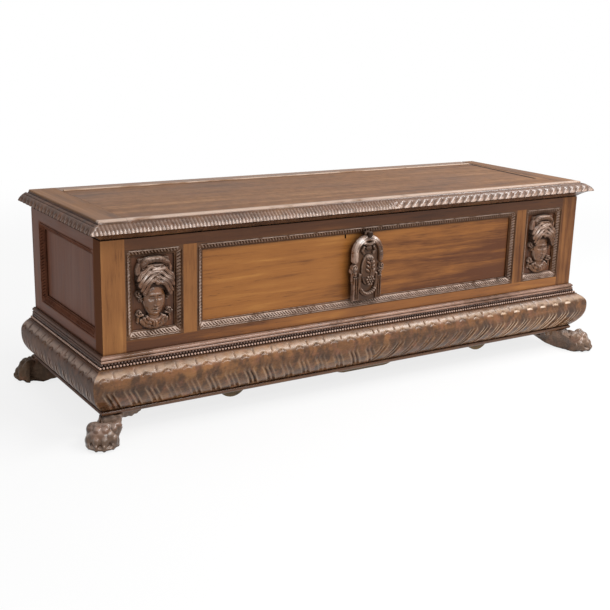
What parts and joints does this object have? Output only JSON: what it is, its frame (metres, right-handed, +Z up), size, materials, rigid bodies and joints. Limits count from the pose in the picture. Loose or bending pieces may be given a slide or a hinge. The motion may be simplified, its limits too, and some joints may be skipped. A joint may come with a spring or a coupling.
{
  "type": "carved wooden chest",
  "caption": "Long panelled walnut chest with hinged lid, carved masks, a swinging cartouche, gadrooned base and lion-paw feet.",
  "frame": {"origin": "on the floor under the middle of the chest's bounding box", "axes": "+X to the right along the chest's length, +Z up, the front faces -Y"},
  "size_m": [1.8264, 0.6848, 0.581],
  "materials": {
    "walnut_frame": "waxed satin",
    "walnut_panel": "waxed satin",
    "walnut_carved": "waxed satin, worn on the high edges",
    "walnut_top": "worn wax",
    "softwood": "bare, darkened",
    "iron": "forged, darkened"
  },
  "bodies": {
    "chest": {"apron_front": "softwood", "back_boards": "softwood", "base_back_board": "softwood", "base_cap_front": "walnut_carved", "base_cap_left": "walnut_carved", "base_cap_right": "walnut_carved", "base_rail_front": "walnut_frame", "base_rail_left": "walnut_frame", "base_rail_right": "walnut_frame", "base_torus_front": "walnut_carved", "base_torus_left": "walnut_carved", "base_torus_right": "walnut_carved", "bottom_bearers": "softwood", "bottom_boards": "softwood", "cartouche_pin": "walnut_carved", "case_screws": "iron", "centre_panel_moulding": "walnut_carved", "corner_blocks": "softwood", "end_moulding_left": "walnut_carved", "end_moulding_right": "walnut_carved", "end_panel_left": "walnut_panel", "end_panel_right": "walnut_panel", "end_rails_left": "walnut_frame", "end_rails_right": "walnut_frame", "foot_dowels": "softwood", "front_bottom_rail": "walnut_frame", "front_centre_panel": "walnut_panel", "front_muntin_left": "walnut_frame", "front_muntin_right": "walnut_frame", "front_post_left": "walnut_frame", "front_post_right": "walnut_frame", "front_top_rail": "walnut_frame", "hinge_lower_leaves": "iron", "hinge_pins": "iron", "lock_case": "iron", "mask_left": "walnut_carved", "mask_moulding_left": "walnut_carved", "mask_moulding_right": "walnut_carved", "mask_panel_left": "walnut_panel", "mask_panel_right": "walnut_panel", "mask_right": "walnut_carved", "paw_foot_front_left": "walnut_carved", "paw_foot_front_right": "walnut_carved", "paw_foot_rear_left": "walnut_carved", "paw_foot_rear_right": "walnut_carved", "rear_post_left": "walnut_frame", "rear_post_right": "walnut_frame"},
    "lid": {"lid_field": "walnut_top", "lid_end_left": "walnut_top", "lid_end_right": "walnut_top", "lid_back_rail": "walnut_top", "lid_moulding_front": "walnut_carved", "lid_moulding_left": "walnut_carved", "lid_moulding_right": "walnut_carved", "lid_back_batten": "softwood", "hinge_upper_leaves": "iron", "lid_screws": "iron", "lock_staple": "iron"},
    "cartouche": {"cartouche": "walnut_carved"},
    "lock_bolt": {"lock_bolt": "iron"}
  },
  "joints": [
    {"name": "lid_hinge", "type": "hinge", "parent": "chest", "child": "lid", "pos_m": [0, 0.28562, 0.525], "axis": [-1, 0, 0], "range_deg": [0, 100]},
    {"name": "cartouche_swing", "type": "hinge", "parent": "chest", "child": "cartouche", "pos_m": [-0.025, -0.25168, 0.476], "axis": [0, 1, 0], "range_deg": [-75, 75]},
    {"name": "lock_bolt_slide", "type": "slide", "parent": "chest", "child": "lock_bolt", "axis": [1, 0, 0], "range_m": [0, 0.014]}
  ]
}
